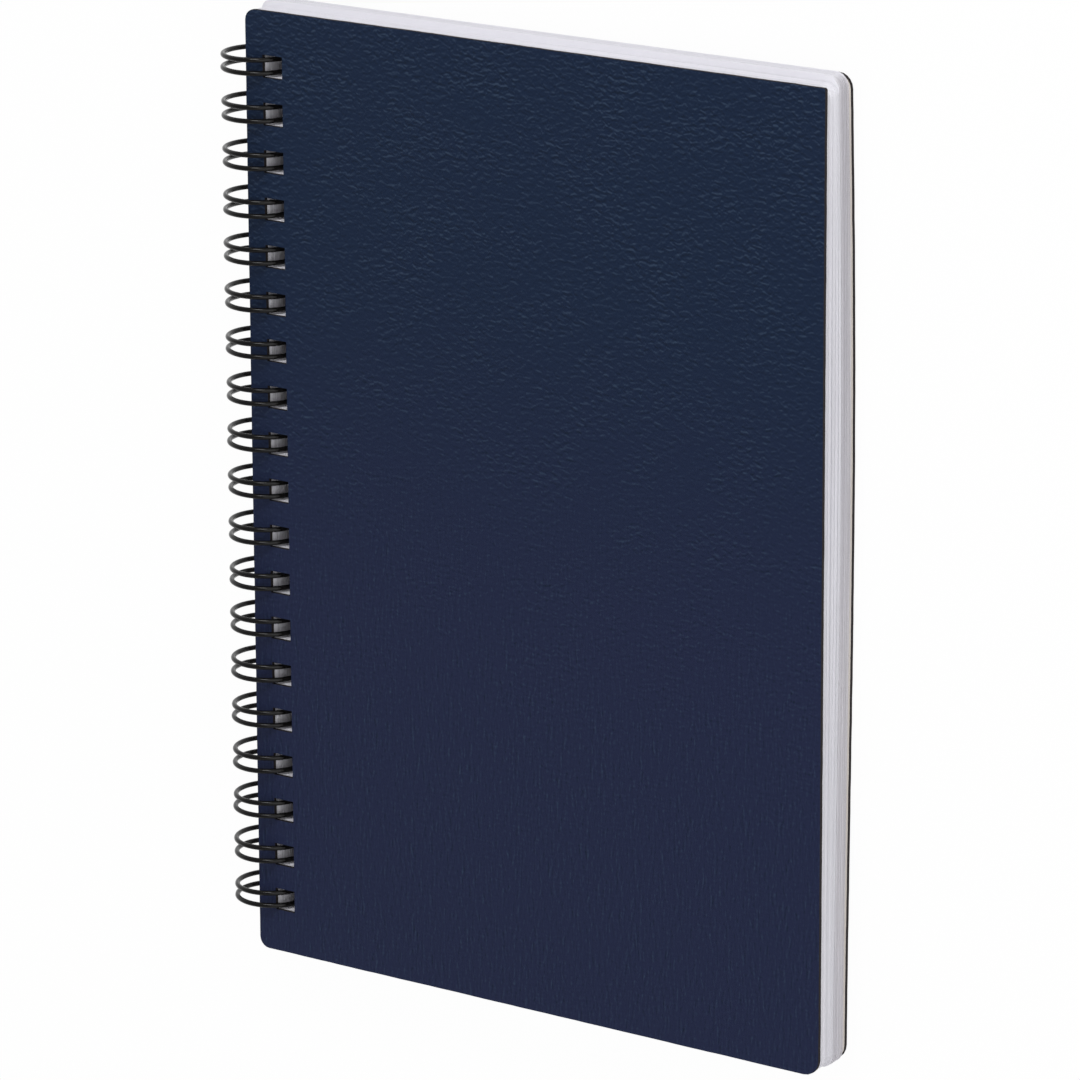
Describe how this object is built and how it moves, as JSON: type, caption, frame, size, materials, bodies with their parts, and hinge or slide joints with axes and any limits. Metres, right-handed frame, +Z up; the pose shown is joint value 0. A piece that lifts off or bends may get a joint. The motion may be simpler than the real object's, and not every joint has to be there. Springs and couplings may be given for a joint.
{
  "type": "notebook",
  "caption": "Closed pocket notebook with soft dark blue leather-look covers, white sheets and a black twin-loop wire down its left side; both covers open on the wire.",
  "frame": {"origin": "under the middle of the closed notebook's outline, at the lowest point of the wire, which is the surface that it lies on", "axes": "+X from the spine to the fore-edge, +Y from the tail to the head, +Z up out of the front cover"},
  "size_m": [0.1272, 0.172, 0.0137],
  "materials": {
    "cover": "grained navy imitation leather, satin",
    "paper": "white uncoated",
    "wire": "black plastic-coated steel, satin"
  },
  "bodies": {
    "pad": {"page_block": "paper", "twin_loop_wire": "wire"},
    "front_cover": {"front_cover": "cover"},
    "back_cover": {"back_cover": "cover"}
  },
  "joints": [
    {"name": "front_cover_hinge", "type": "hinge", "parent": "pad", "child": "front_cover", "pos_m": [-0.05669, 0, 0.00688], "axis": [0, -1, 0], "range_deg": [0, 180]},
    {"name": "back_cover_hinge", "type": "hinge", "parent": "pad", "child": "back_cover", "pos_m": [-0.05669, 0, 0.00688], "axis": [0, 1, 0], "range_deg": [0, 180]}
  ]
}
